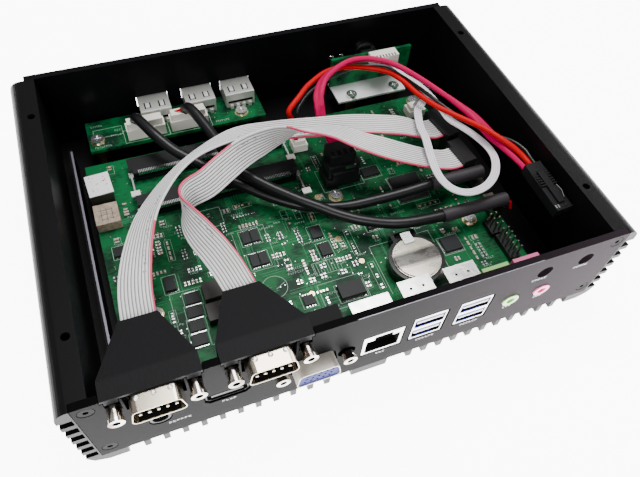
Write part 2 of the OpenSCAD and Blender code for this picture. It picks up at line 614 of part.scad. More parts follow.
// [x, y, width, depth, height] of each chip, by its middle
chips = [[-57.7, -33, 5.6, 4.8, 1.1], [-58.3, -39, 5.6, 4.8, 1.1],
    [-58.8, -45, 5.6, 4.8, 1.1], [-59.3, -51, 5.6, 4.8, 1.1],
    [-29.9, -12, 3.4, 6, 1.1], [-26.1, -12, 3.4, 6, 1.1],
    [-29.8, -24, 3.4, 6, 1.1], [-26, -24, 3.4, 6, 1.1],
    [-1.2, -18.6, 4.6, 6, 1.2], [-0.4, -28, 4.6, 6, 1.2],
    [51.5, -42.5, 8, 7, 1.4], [2.3, -49.8, 10.4, 6.4, 2.2],
    [-15.2, -48.5, 4.4, 4.4, 0.9], [-79.6, -2.5, 5, 4.6, 1.1],
    [-73.4, -2, 5, 4.6, 1.1], [-77, -14, 4.4, 3.6, 1],
    [-64.5, -24, 4, 6.6, 1.4], [48, -8, 14, 14, 1.4], [35, 6, 8, 5, 1.2],
    [24, -22, 6, 5, 1.2]];
module board_chips() color([0.13, 0.13, 0.14]) for (c = chips)
    span([c[0] - c[2] / 2, c[1] - c[3] / 2, top_z], [c[0] + c[2] / 2, c[1] + c[3] / 2, top_z + c[4]]);

// A two-row pin header: black base with square pins
module pin_header(x, y, rows) {
    color([0.1, 0.1, 0.1]) span([x - 2.5, y - rows * 1.27, top_z], [x + 2.5, y + rows * 1.27, top_z + 2.5]);
    color([0.85, 0.8, 0.6]) for (k = [0:rows - 1], s = [-1, 1])
        translate([x + s * 1.27 - 0.3, y - rows * 1.27 + 2.54 * k + 0.97, top_z + 2.5])
            cube([0.6, 0.6, 6]);
}

module pin_headers() {
    pin_header(73.6, -52, 5);
    pin_header(72.6, -41, 3);
    color([0.1, 0.1, 0.1]) for (p = socket_at)
        span([p[0] - 3, p[1] - 6, top_z], [p[0] + 3, p[1] + 6, 25]);
    color([0.1, 0.1, 0.1]) for (y = [-16.5, -31]) span([75, y - 5, top_z], [80, y + 5, top_z + 5.5]);
}

// ---------- leads and what is on them ----------
module serial_hood(x, x_end) color([0.12, 0.12, 0.13]) {
    hull() {
        span([x - 15.5, flange_y + 3.6, serial_z - 6.1], [x + 15.5, flange_y + 4.6, serial_z + 5.4]);
        span([x_end - 6.6, -50, serial_z - 6], [x_end + 6.6, -49, serial_z + 0.6]);
    }
    notch_tape(x, 31, serial_z + 4.6);
    for (s = [-1, 1]) notch_tape(x + s * jack_span / 2, 4.2, serial_z + 2.5);
    difference() {
        span([x - 15.5, flange_y + 0.82, serial_z - 6.1], [x + 15.5, flange_y + 3.8, serial_z + 5.9]);
        plate_y(flange_y, flange_y + 3.5) translate([x, serial_z]) {
            polygon(d_outline(17.8, 8.9, 2));
            for (s = [-1, 1]) translate([s * jack_span / 2, 0]) circle(r = 1.9);
        }
    }
}
// Tape over the panel's open-topped notches, above the shell and jackscrews
module notch_tape(x, w, low) {
    span([x - w / 2, front + 0.1, low], [x + w / 2, flange_y - 0.15, serial_z + 5.9]);
    span([x - w / 2, front + 0.1, serial_z + 5.3], [x + w / 2, flange_y + 1.5, serial_z + 5.9]);
}
module serial_hood_1() serial_hood(serial_x[0], -77.2);
module serial_hood_2() serial_hood(serial_x[1], -41.8);

module ribbon_cable_1() color([0.84, 0.83, 0.82])
    sweep(ribbon_1_route, flat_section(ribbon_w, ribbon_t));
module ribbon_cable_2() color([0.84, 0.83, 0.82])
    sweep(ribbon_2_route, flat_section(ribbon_w, ribbon_t));
module port_cable_1() color([0.1, 0.1, 0.1]) sweep(port_cable_1_route, round_section(port_cable_d));
module port_cable_2() color([0.1, 0.1, 0.1]) sweep(port_cable_2_route, round_section(port_cable_d));
module drive_data_cable() color([0.88, 0.15, 0.35])
    sweep(data_route, flat_section(data_cable_w, data_cable_t));
module power_wire_red() color([0.9, 0.2, 0.16]) sweep(red_route, round_section(red_wire_d));
module power_wire_black() color([0.1, 0.1, 0.1]) sweep(black_route, round_section(black_wire_d));
module button_cable() color([0.94, 0.92, 0.95])
    sweep(button_route, flat_section(button_cable_w, button_cable_t));

module cable_sleeves() color([0.14, 0.13, 0.14]) for (s = sleeve_at)
    translate([s[0], s[2], s[3]]) rotate([0, 90, 0]) cylinder(h = s[1] - s[0], r = sleeve_r);

module ribbon_sockets() color([0.12, 0.12, 0.12]) for (p = socket_at)
    translate([p[0], p[1], 28]) rotate([0, 0, p[2]]) cube([6.4, p[3], 5.6], center = true);

module combo_plug() color([0.09, 0.09, 0.1]) translate([90.7, -42.2, 38.2])
    rotate([6, 0, 3]) {
        cube([7.6, 24, 4.8], center = true);
        translate([0, -1, 2.8]) cube([3, 16, 1.2], center = true);
    }

heatsink_body();
front_panel();
rear_panel();
panel_screws();
main_board();
board_standoffs();
board_screws();
processor();
heat_block();
memory_socket_1();
memory_socket_2();
memory_latch_1_left();
memory_latch_1_right();
memory_latch_2_left();
memory_latch_2_right();
battery_holder();
battery_clip();
coin_cell();
serial_port_1();
serial_port_2();
serial_inserts();
jackscrews();
video_port();
video_insert();
display_socket();
dc_jack();
network_port();
data_port_1();
data_port_2();
port_tongues();
audio_jack_green();
audio_jack_pink();
rear_port_board();
rear_port_1();
rear_port_2();
rear_port_3();
wafer_headers();
wafer_plugs();
button_board();
button_bracket();
power_button();
power_switch();
drive_socket();
drive_plug();
inductors();
board_chips();
pin_headers();
serial_hood_1();
serial_hood_2();
ribbon_cable_1();
ribbon_cable_2();
port_cable_1();
port_cable_2();
cable_sleeves();
drive_data_cable();
power_wire_red();
power_wire_black();
button_cable();
ribbon_sockets();
combo_plug();
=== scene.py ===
import math
import random

import bpy
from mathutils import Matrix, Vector


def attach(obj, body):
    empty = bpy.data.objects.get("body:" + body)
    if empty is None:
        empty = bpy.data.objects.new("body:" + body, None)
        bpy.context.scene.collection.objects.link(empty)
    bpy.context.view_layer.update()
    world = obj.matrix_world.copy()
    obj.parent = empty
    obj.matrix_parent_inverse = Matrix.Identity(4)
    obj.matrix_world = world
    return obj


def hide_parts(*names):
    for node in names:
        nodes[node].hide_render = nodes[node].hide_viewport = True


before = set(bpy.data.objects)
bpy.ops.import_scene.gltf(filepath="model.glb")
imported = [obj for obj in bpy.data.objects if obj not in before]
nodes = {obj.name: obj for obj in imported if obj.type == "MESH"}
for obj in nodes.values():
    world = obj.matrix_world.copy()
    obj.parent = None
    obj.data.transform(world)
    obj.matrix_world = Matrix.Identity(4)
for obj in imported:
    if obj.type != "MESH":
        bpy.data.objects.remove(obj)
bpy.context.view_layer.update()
rng = random.Random(11)

# ---------- places shared by the sections below, in millimetres ----------
MM = 0.001
TOP = 16.0  # top face of the main board
REAR_TOP = 19.7  # top face of the rear port board
RIM_Z = 47.5
PANEL_Y = -77.0  # outer face of the front panel
PRINT = 0.03  # thickness of printed marks
ROUTE_STEPS = 7  # points made between two stated points of a lead
RIBBON_W = 12
PORT_CABLE_D = 4.7
DATA_CABLE_W = 4.6
RED_WIRE_D = 2.4
BLACK_WIRE_D = 1.6
BUTTON_CABLE_W = 3.6
SERIAL_X = (-77.44, -40.7)
DATA_X = (21.2, 40.5)
DATA_Z = (17, 24.6)  # floors of the two openings in a data port
DATA_HALF = 6.1  # half the width of such an opening
LAN_X = (-4, 9.4)
PORT_BACK_Y = -64.7
REAR_PORT_X = (-49.5, -28.5, -9.5)
SCREW_AT = ((-72.6, -35.3), (14.7, -2.2), (76, 44), (66, -33))
REAR_SCREW_AT = ((-78.2, 59.3), (-10.6, 58.4))

# ---------- camera ----------
cam_data = bpy.data.cameras.new("camera")
cam_data.lens = 33.52
cam_data.sensor_width = 36
cam_data.clip_start = 0.01
cam = bpy.data.objects.new("camera", cam_data)
bpy.context.scene.collection.objects.link(cam)
cam.location = (-0.06458, -0.15455, 0.22035)
cam.rotation_euler = (0.62242, -0.06056, -0.36653)
bpy.context.scene.camera = cam


# ---------- materials ----------
def shader(m):
    return m.node_tree.nodes["Principled BSDF"]


def new_material(name, rgb, rough, metal=0.0, specular=0.5):
    m = bpy.data.materials.new(name)
    m.use_nodes = True
    b = shader(m)
    b.inputs["Base Color"].default_value = (*rgb, 1)
    b.inputs["Roughness"].default_value = rough
    b.inputs["Metallic"].default_value = metal
    b.inputs["Specular IOR Level"].default_value = specular
    return m


def node_of(m, kind, **inputs):
    n = m.node_tree.nodes.new(kind)
    for key, value in inputs.items():
        n.inputs[key.replace("_", " ")].default_value = value
    return n


def link(m, a, out, b, into):
    m.node_tree.links.new(a.outputs[out], b.inputs[into])


def noise(m, scale, detail=3.0, stretch=(1, 1, 1)):
    coord = node_of(m, "ShaderNodeTexCoord")
    mapping = node_of(m, "ShaderNodeMapping", Scale=stretch)
    link(m, coord, "Object", mapping, "Vector")
    n = node_of(m, "ShaderNodeTexNoise", Scale=scale, Detail=detail)
    link(m, mapping, "Vector", n, "Vector")
    return n


def grain(m, scale, strength, distance=0.0001):
    n = noise(m, scale)
    bump = node_of(m, "ShaderNodeBump", Strength=strength, Distance=distance)
    link(m, n, "Fac", bump, "Height")
    link(m, bump, "Normal", shader(m), "Normal")
    return m


def colour_ramp(m, low, high):
    ramp = node_of(m, "ShaderNodeValToRGB")
    ramp.color_ramp.elements[0].color = (*low, 1)
    ramp.color_ramp.elements[1].color = (*high, 1)
    return ramp


def place_range(m, axis, low, high):
    """0 to 1 between two places along one axis of the object, in metres."""
    split = node_of(m, "ShaderNodeSeparateXYZ")
    link(m, node_of(m, "ShaderNodeTexCoord"), "Object", split, "Vector")
    remap = node_of(m, "ShaderNodeMapRange", From_Min=low, From_Max=high)
    link(m, split, axis, remap, "Value")
    return remap


def mottle(m, scale, low, high, start=0.35, end=0.65, stretch=(1, 1, 1)):
    n = noise(m, scale, 4.0, stretch)
    ramp = colour_ramp(m, low, high)
    ramp.color_ramp.elements[0].position = start
    ramp.color_ramp.elements[1].position = end
    link(m, n, "Fac", ramp, "Fac")
    link(m, ramp, "Color", shader(m), "Base Color")
    return m


def by_place(m, axis, at, before, after, metal=(0.0, 0.0), width=0.0002):
    """One colour before a place and another after it, with its own metal value on each side."""
    remap = place_range(m, axis, at - width, at + width)
    ramp = colour_ramp(m, before, after)
    link(m, remap, "Result", ramp, "Fac")
    link(m, ramp, "Color", shader(m), "Base Color")
    shine = node_of(m, "ShaderNodeMapRange", To_Min=metal[0], To_Max=metal[1])
    link(m, remap, "Result", shine, "Value")
    link(m, shine, "Result", shader(m), "Metallic")
    return m


def banded(m, axis, low, high, first, last, bands, own_share):
    """Colour bands along one axis, over a share of the colour that the material had."""
    ramp = colour_ramp(m, first, last)
    link(m, place_range(m, axis, low, high), "Result", ramp, "Fac")
    for at, tone in bands:
        ramp.color_ramp.elements.new(at).color = (*tone, 1)
    own = shader(m).inputs["Base Color"].links[0].from_node
    mix = node_of(m, "ShaderNodeMixRGB", Fac=own_share)
    link(m, ramp, "Color", mix, "Color1")
    link(m, own, "Color", mix, "Color2")
    link(m, mix, "Color", shader(m), "Base Color")
    return m


black_body = grain(new_material("black_body", (0.004, 0.0038, 0.0045), 0.42, specular=0.08), 4000, 0.2)
rear_black = grain(new_material("rear_black", (0.003, 0.003, 0.004), 0.3, specular=0.06), 2500, 0.05)
# Front panel: painted shade and highlight, darker to the left and lighter to the right as the light falls
# across it
panel_dark = by_place(new_material("panel_dark", (0.03, 0.03, 0.03), 0.6, specular=0.035), "X", 0.064,
                      (0.001, 0.0008, 0.001), (0.022, 0.0145, 0.02), width=0.06)
grain(panel_dark, 6000, 0.3)
# Bare metal of the edges, made lighter as a painted highlight where they catch the light
lit_bare_edge = new_material("lit_bare_edge", (0.2, 0.19, 0.23), 0.4, 0.6)
screw_black = new_material("screw_black", (0.002, 0.002, 0.002), 0.55, specular=0.04)
steel = grain(new_material("steel", (0.8, 0.8, 0.81), 0.22, 1.0), 3000, 0.05)
bright_plate = new_material("bright_plate", (0.9, 0.9, 0.9), 0.45, 0.75)
track_green = new_material("track_green", (0.01, 0.26, 0.09), 0.4, specular=0.25)
gap_green = new_material("gap_green", (0.0, 0.05, 0.02), 0.5, specular=0.2)
mirror_steel = new_material("mirror_steel", (0.85, 0.85, 0.86), 0.08, 1.0)
tin_soft = new_material("tin_soft", (0.62, 0.62, 0.58), 0.35, 0.55)
holder_black = new_material("holder_black", (0.004, 0.004, 0.004), 0.16, specular=0.5)
tin = mottle(new_material("tin", (0.8, 0.8, 0.79), 0.24, 1.0), 300, (0.62, 0.62, 0.61), (0.9, 0.9, 0.88))
nickel = by_place(new_material("nickel", (0.7, 0.66, 0.58), 0.2, 1.0), "Y", -0.07445,
                  (0.5, 0.44, 0.35), (0.004, 0.004, 0.004), (1.0, 0.0))
video_metal = by_place(new_material("video_metal", (0.6, 0.56, 0.5), 0.38, 0.5), "Y", -0.0749,
                       (0.6, 0.56, 0.5), (0.06, 0.05, 0.04), (0.5, 0.5), 0.001)
jack_metal = mottle(new_material("jack_metal", (0.8, 0.77, 0.72), 0.14, 1.0), 260,
                    (0.16, 0.12, 0.1), (0.72, 0.68, 0.62), 0.36, 0.6)
brass = new_material("brass", (0.72, 0.55, 0.26), 0.3, 1.0)
gold = new_material("gold", (0.85, 0.68, 0.35), 0.25, 1.0)
copper = new_material("copper", (0.8, 0.42, 0.28), 0.35, 1.0)
plastic = grain(new_material("plastic", (0.007, 0.007, 0.008), 0.4, specular=0.25), 3500, 0.2)
chip = grain(new_material("chip", (0.01, 0.011, 0.012), 0.45, specular=0.2), 5000, 0.2)
tape = grain(new_material("tape", (0.006, 0.006, 0.007), 0.6, specular=0.13), 900, 0.4, 0.0003)
pins_black = by_place(new_material("pins_black", (0.02, 0.02, 0.02), 0.3, specular=0.1), "Y", -0.0767,
                      (0.95, 0.88, 0.72), (0.003, 0.003, 0.003), (1.0, 0.0))
header_mix = by_place(new_material("header_mix", (0.02, 0.02, 0.02), 0.3), "Z", 0.0186,
                      (0.006, 0.006, 0.007), (0.3, 0.28, 0.24), (0.0, 1.0), 0.00008)
blue = by_place(new_material("blue", (0.035, 0.045, 0.36), 0.5, specular=0.1), "Y", -0.0745,
                (0.004, 0.007, 0.11), (0.002, 0.002, 0.003))
tongue = new_material("tongue", (0.02, 0.024, 0.26), 0.38)
green_ring = new_material("green_ring", (0.33, 0.62, 0.2), 0.35)
pink_ring = new_material("pink_ring", (0.78, 0.16, 0.36), 0.35)
nylon = grain(new_material("nylon", (0.82, 0.78, 0.7), 0.45), 2500, 0.1)
shader(nylon).inputs["Subsurface Weight"].default_value = 0.05
white_paint = new_material("white_paint", (0.3, 0.46, 0.35), 0.6)
print_grey = new_material("print_grey", (0.6, 0.6, 0.62), 0.6)
sticker = new_material("sticker", (0.9, 0.9, 0.9), 0.5)
dot_dark = new_material("dot_dark", (0.03, 0.03, 0.05), 0.5)
dot_red = new_material("dot_red", (0.7, 0.05, 0.08), 0.5)
tan_part = mottle(new_material("tan_part", (0.4, 0.3, 0.2), 0.55), 700,
                  (0.28, 0.2, 0.14), (0.42, 0.33, 0.25))
dark_part = grain(new_material("dark_part", (0.035, 0.03, 0.027), 0.5), 3000, 0.4)
ceramic = new_material("ceramic", (0.42, 0.31, 0.2), 0.5)
resistor = new_material("resistor", (0.01, 0.01, 0.012), 0.35)
solder = new_material("solder", (0.88, 0.88, 0.88), 0.18, 1.0)
# Painted shade: black that stands in for the shade inside holes, openings and slots
painted_hole_shade = new_material("painted_hole_shade", (0.003, 0.003, 0.003), 0.8, specular=0.1)
button_metal = new_material("button_metal", (0.75, 0.75, 0.77), 0.25, 1.0)
# Coin cell: painted reflection, light and dark streaks and bands across the flat metal
cell_metal = mottle(new_material("cell_metal", (0.8, 0.78, 0.7), 0.16, 1.0), 130,
                    (0.25, 0.22, 0.16), (0.95, 0.92, 0.82), 0.38, 0.52, (1, 2.2, 1))
banded(cell_metal, "Y", -0.0575, -0.0375, (0.8, 0.72, 0.62), (0.85, 0.82, 0.68),
       ((0.3, (0.75, 0.68, 0.6)), (0.4, (0.1, 0.09, 0.09)), (0.62, (0.05, 0.05, 0.05)),
        (0.72, (0.8, 0.77, 0.62))), 0.12)
jacket = new_material("jacket", (0.006, 0.006, 0.007), 0.36, specular=0.3)
sleeve = grain(new_material("sleeve", (0.022, 0.018, 0.022), 0.55), 1800, 0.3)
magenta = new_material("magenta", (0.5, 0.0, 0.075), 0.42, specular=0.1)
wire_red = new_material("wire_red", (0.5, 0.0, 0.004), 0.4, specular=0.12)
wire_black = new_material("wire_black", (0.01, 0.01, 0.01), 0.35)
wire_white = new_material("wire_white", (0.84, 0.8, 0.86), 0.45)
ribbon = mottle(new_material("ribbon", (0.8, 0.78, 0.78), 0.5), 60,
                (0.74, 0.72, 0.72), (0.84, 0.82, 0.82))
# Painted shade: darker colour in the low lines between the wires of the ribbon and button leads
ribbon_groove_shade = new_material("ribbon_groove_shade", (0.24, 0.23, 0.23), 0.7, specular=0.1)
soft_groove_shade = new_material("soft_groove_shade", (0.6, 0.58, 0.6), 0.7, specular=0.1)
stripe = new_material("stripe", (0.68, 0.05, 0.13), 0.5)

# Green board: darker and lighter areas with fine lines across them
board_green = new_material("board_green", (0.01, 0.16, 0.06), 0.42, specular=0.14)
areas = noise(board_green, 95, 2.0)
lines = noise(board_green, 420, 2.0, (1, 3.2, 1))
mixed = node_of(board_green, "ShaderNodeMath")
mixed.operation = "MULTIPLY_ADD"
link(board_green, lines, "Fac", mixed, 0)
mixed.inputs[1].default_value = 0.5
link(board_green, areas, "Fac", mixed, 2)
greens = colour_ramp(board_green, (0.0, 0.022, 0.009), (0.0, 0.12, 0.032))
greens.color_ramp.elements[0].position = 0.62
greens.color_ramp.elements[1].position = 0.86
link(board_green, mixed, "Value", greens, "Fac")
link(board_green, greens, "Color", shader(board_green), "Base Color")

LOOKS = {
    "heatsink_body": black_body, "front_panel": panel_dark, "rear_panel": rear_black,
    "panel_screws": screw_black, "main_board": board_green, "board_standoffs": brass,
    "board_screws": steel, "processor": chip, "heat_block": copper,
    "memory_socket_1": plastic, "memory_socket_2": plastic, "memory_latch_1_left": steel,
    "memory_latch_1_right": steel, "memory_latch_2_left": steel, "memory_latch_2_right": steel,
    "battery_holder": holder_black, "battery_clip": steel, "coin_cell": cell_metal,
    "serial_port_1": nickel, "serial_port_2": nickel, "serial_inserts": pins_black,
    "jackscrews": jack_metal, "video_port": video_metal, "video_insert": blue,
    "display_socket": plastic, "dc_jack": plastic, "network_port": tin, "data_port_1": tin,
    "data_port_2": tin, "port_tongues": tongue, "audio_jack_green": green_ring,
    "audio_jack_pink": pink_ring, "rear_port_board": board_green, "rear_port_1": tin_soft,
    "rear_port_2": tin_soft, "rear_port_3": tin_soft, "wafer_headers": nylon, "wafer_plugs": nylon,
    "button_board": board_green, "button_bracket": bright_plate, "power_button": button_metal,
    "power_switch": plastic, "drive_socket": plastic, "drive_plug": plastic,
    "inductors": dark_part, "board_chips": chip, "pin_headers": header_mix,
    "serial_hood_1": tape, "serial_hood_2": tape, "cable_sleeves": sleeve,
    "ribbon_sockets": plastic, "combo_plug": plastic,
}
for name, look in LOOKS.items():
    data = nodes[name].data
    data.materials.clear()
    data.materials.append(look)


# ---------- mesh helpers, in millimetres ----------
def add_object(name, verts, faces, look, body="chassis", smooth=False):
    mesh = bpy.data.meshes.new(name)
    mesh.from_pydata([Vector(v) * MM for v in verts], [], faces)
    mesh.materials.append(look)
    if smooth:
        mesh.polygons.foreach_set("use_smooth", [True] * len(mesh.polygons))
    mesh.update()
    obj = bpy.data.objects.new(name, mesh)
    bpy.context.scene.collection.objects.link(obj)
    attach(obj, body)
    return obj


class Batch:
    """Many small solids of one look, made into one object."""

    def __init__(self, name, look, slot, body="chassis"):
        self.name, self.look, self.slot, self.body = name, look, slot, body
        self.verts, self.faces = [], []

    def box(self, x0, x1, y0, y1, z0, z1, turn=0.0):
        cx, cy = (x0 + x1) / 2, (y0 + y1) / 2
        c, s = math.cos(turn), math.sin(turn)
        n = len(self.verts)
        for z in (z0, z1):
            for x, y in ((x0, y0), (x1, y0), (x1, y1), (x0, y1)):
                dx, dy = x - cx, y - cy
                self.verts.append((cx + dx * c - dy * s, cy + dx * s + dy * c, z))
        for f in ((3, 2, 1, 0), (4, 5, 6, 7), (0, 1, 5, 4), (1, 2, 6, 5), (2, 3, 7, 6), (3, 0, 4, 7)):
            self.faces.append([n + i for i in f])

    def rod(self, p, q, r, sides=12, r_end=None):
        a, b = Vector(p), Vector(q)
        t = (b - a).normalized()
        u = t.cross(Vector((0, 0, 1)) if abs(t.z) < 0.9 else Vector((1, 0, 0))).normalized()
        v = t.cross(u)
        n = len(self.verts)
        for end, rad in ((a, r), (b, r if r_end is None else r_end)):
            for k in range(sides):
                w = 2 * math.pi * k / sides
                self.verts.append(tuple(end + (u * math.cos(w) + v * math.sin(w)) * rad))
        for k in range(sides):
            j = (k + 1) % sides
            self.faces.append([n + k, n + j, n + sides + j, n + sides + k])
        self.faces.append([n + k for k in range(sides - 1, -1, -1)])
        self.faces.append([n + sides + k for k in range(sides)])

    def ring(self, x, y, z, r, wide, high, sides=40):
        n = len(self.verts)
        for k in range(sides):
            w = 2 * math.pi * k / sides
            for rad, up in ((r, 0), (r + wide, 0), (r + wide, high), (r, high)):
                self.verts.append((x + rad * math.cos(w), y + rad * math.sin(w), z + up))
        for k in range(sides):
            j = (k + 1) % sides
            for i in range(4):
                h = (i + 1) % 4
                self.faces.append([n + 4 * k + i, n + 4 * j + i, n + 4 * j + h, n + 4 * k + h])

    def done(self):
        add_object(self.name, self.verts, self.faces, self.look, self.body)


# ---------- leads ----------
def smooth_route(route):
    """Curve through the points of a route, each [x, y, z] or [x, y, z, tilt in degrees]."""
    pts = [tuple(p) if len(p) == 4 else (*p, 0.0) for p in route]
    out = []
    for i in range(len(pts) - 1):
        p0, p1, p2, p3 = pts[max(i - 1, 0)], pts[i], pts[i + 1], pts[min(i + 2, len(pts) - 1)]
        for k in range(ROUTE_STEPS):
            t = k / ROUTE_STEPS
            out.append(tuple(
                0.5 * (2 * b + (c - a) * t + (2 * a - 5 * b + 4 * c - d) * t * t
                       + (3 * b - a - 3 * c + d) * t ** 3)
                for a, b, c, d in zip(p0, p1, p2, p3)))
    out.append(pts[-1])
    return out


def banked(a, b, tilt):
    """Unit run from a to b, then the width direction and the normal of a strip turned by tilt."""
    t = (b - a).normalized()
    right = Vector((0, -1, 0)) if abs(t.z) > 0.97 else t.cross(Vector((0, 0, 1))).normalized()
    turn = math.radians(tilt)
    w = right * math.cos(turn) + right.cross(t) * math.sin(turn)
    return t, w, w.cross(t)


def swept(name, route, section, look, slot, edge=None, edge_from=None, plain=(2, 2), groove=None):
    """Section along a route. The edge look starts at a width, except along the plain share of the
    route, and the groove look, a painted shade, fills the low lines between wires."""
    path = smooth_route(route)
    m = len(section)
    verts, faces = [], []
    for i, p in enumerate(path):
        a, b = Vector(path[max(i - 1, 0)][:3]), Vector(path[min(i + 1, len(path) - 1)][:3])
        _, w, n = banked(a, b, p[3])
        for u, v in section:
            verts.append(tuple(Vector(p[:3]) + w * u + n * v))
    for i in range(len(path) - 1):
        for j in range(m):
            k = (j + 1) % m
            faces.append([i * m + j, (i + 1) * m + j, (i + 1) * m + k, i * m + k])
    faces.append(list(range(m)))
    faces.append([(len(path) - 1) * m + j for j in range(m - 1, -1, -1)])
    obj = add_object(name, verts, faces, look, smooth=True)
    looks = obj.data.materials
    around = obj.data.polygons[: (len(path) - 1) * m]
    if edge is not None:
        looks.append(edge)
        for f in around:
            ends_from = min(section[f.index % m][0], section[(f.index % m + 1) % m][0])
            if ends_from >= edge_from and not plain[0] < f.index // m / len(path) < plain[1]:
                f.material_index = 1
    # painted shade in the low lines between wires
    if groove is not None:
        looks.append(groove)
        low = [abs(v) < 0.1 for _, v in section]
        for f in around:
            if f.material_index == 0 and (low[f.index % m] or low[(f.index % m + 1) % m]):
                f.material_index = len(looks) - 1
    return obj, [tuple(c * MM for c in p[:3]) for p in path]


def lead(name, route, section, look, slot, wide, node, stiffness="medium", pieces=(), **marks):
    """Swept lead in place of a node. Returns its path in metres."""
    obj, path = swept(name, route, section, look, slot, **marks)
    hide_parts(node)
    return path


def round_section(d, n=14):
    turns = [2 * math.pi * k / n for k in range(n)]
    return [(d / 2 * math.cos(w), d / 2 * math.sin(w)) for w in turns]


def ribbed_section(w, t, wires):
    pitch = w / wires
    top = []
    for k in range(wires):
        c = -w / 2 + pitch * (k + 0.5)
        top += [(c - pitch * 0.5, t * 0.06), (c - pitch * 0.36, t * 0.4), (c, t * 0.52),
                (c + pitch * 0.34, t * 0.4)]
    top.append((w / 2, t * 0.15))
    return [(u, -v) for u, v in top] + [(u, v) for u, v in reversed(top)]


ribbon_1_route = [
    (-77.2, -48.5, 39.5, 0), (-76.4, -40.2, 41, 3), (-74.8, -32.2, 42, 10), (-71.4, -20.9, 42.5, 22),
    (-66.4, -9.2, 42.5, 33), (-59.4, 0.9, 42.2, 40), (-51.3, 9.7, 41.6, 44), (-41.4, 17.4, 40.6, 40),
    (-27.6, 24, 39.2, 26), (-18.5, 26, 38, 14), (-7.5, 26, 36.2, 5), (3.2, 25.2, 35, 0),
    (15.5, 22.8, 35, 0), (30.2, 19.8, 35.2, 0), (44.8, 15, 35, 0), (52.3, 12.6, 34.2, 0),
    (59.4, 11.3, 31.5, 0), (65.6, 11.9, 28.4, 0), (70.8, 12.6, 28, 0)]
ribbon_2_route = [
    (-41.8, -48.5, 39.5, 0), (-43.7, -39.1, 40, 8), (-46.1, -30.3, 40, 20), (-48.9, -22.5, 40, 35),
    (-51.6, -13.9, 40.4, 60), (-52.2, -6.9, 41, 90), (-48.7, -2.5, 41.2, 115), (-40.8, 0.6, 41.4, 130),
    (-32.4, 6, 41.5, 135), (-25.3, 10.4, 41.5, 130), (-19.5, 13.1, 41.5, 120), (-13.7, 15.1, 41.3, 108),
    (-7.7, 16.6, 41.3, 92), (-2, 17, 41.5, 72), (4.4, 16.3, 41.6, 42), (13.2, 14.2, 41, 26),
    (20.4, 11.2, 40.2, 15), (27.9, 5.4, 39, 8), (37.6, -0.1, 36.8, 0), (47.4, -3.9, 33.8, 0),
    (56.9, -6.1, 30.4, 0), (65, -7.3, 28.2, 0), (70.8, -7, 28, 0)]
port_cable_1_route = [
    (-60, 58, 28.3), (-59.4, 56, 31.3), (-57.4, 50.5, 32.4), (-53.8, 42.3, 32), (-47.5, 33.4, 29),
    (-38.9, 25, 26.5), (-32.2, 17.6, 25), (-25.4, 10.4, 24.4), (-15.6, 2, 22.5), (-4.5, -5.5, 21),
    (6.2, -10, 20.6), (16.1, -12.8, 21), (27.6, -14.5, 22.5), (38.8, -15.7, 24), (48, -16.3, 25.4),
    (54, -16.5, 26)]
port_cable_2_route = [
    (-37.4, 58, 28.3), (-36.4, 56.2, 31.3), (-34.8, 52, 32.6), (-32.9, 46, 32.2), (-30.1, 36.5, 31),
    (-27.4, 25, 30), (-24.2, 14.5, 29.2), (-16.5, 4, 28.2), (-5.5, -7, 27), (2.1, -13.2, 26),
    (8.1, -18, 25), (16.3, -23.6, 24.4), (25.8, -28.2, 24), (33.7, -31, 24.4), (42.2, -32.6, 25),
    (51, -33.6, 25.5)]
data_route = [
    (19, 12.6, 31.4, 0), (18.9, 15, 32.2, 0), (18.8, 20, 32.6, 0), (18.8, 28.6, 32.8, 0),
    (18.8, 31.2, 35.2, 0), (18.8, 33, 39, 12), (19.8, 36.4, 41.6, 25),
    (25.3, 43.4, 43.5, 42), (37, 49.5, 44.3, 50), (47.3, 49.8, 44.3, 50), (55.9, 45.7, 44.2, 48),
    (61.5, 39.9, 44, 45), (66.7, 31.4, 43.6, 45), (71.4, 22.3, 43, 45), (76.2, 13.4, 42, 38),
    (80.8, 4.4, 40.5, 20), (82.9, -2.3, 39.3, 5), (84.2, -8.6, 38.6, 0), (86.4, -14.5, 38, 15),
    (88, -22.9, 37.6, 40), (87.8, -30.8, 38.4, 60)]
red_route = [
    (7.6, 31, 21.6), (7.6, 32, 26), (6.6, 33.2, 31), (5, 33.6, 35), (5.2, 34.2, 38), (10.5, 38, 40),
    (18.7, 44.8, 40.8), (31, 51.1, 40.6), (44.2, 49.6, 40.4), (55.5, 43.5, 40.4), (60.4, 36.1, 40.4),
    (63.8, 24.1, 40.4), (67.9, 14.4, 40.6), (72.7, 6.4, 41), (77.5, -1, 41.5), (81, -6.5, 41.8),
    (84.2, -12.4, 41.6), (87.9, -18.2, 40.6), (90.2, -22.8, 39.4), (91, -26.3, 38.8), (91, -30.8, 38.9)]
black_route = [
    (10.4, 31, 21.6), (10.4, 32.2, 26), (9.8, 33.8, 31), (9.2, 35, 35), (11.8, 37.6, 36.6),
    (17.9, 42.3, 38), (30.2, 48.5, 38.6), (45.5, 52, 38.2), (58.2, 48.8, 38.6), (62.5, 40.1, 39),
    (66.7, 29.5, 39.4), (70.4, 18.5, 39.6), (74.7, 9.7, 38.8), (79.9, 2.9, 37.8), (83.8, -2.2, 36.4),
    (87.5, -7.5, 36.8), (89.8, -11.4, 38), (91.9, -15.9, 39), (93.4, -21, 39.2), (93.6, -25, 38.8),
    (93.2, -30.8, 38.9)]
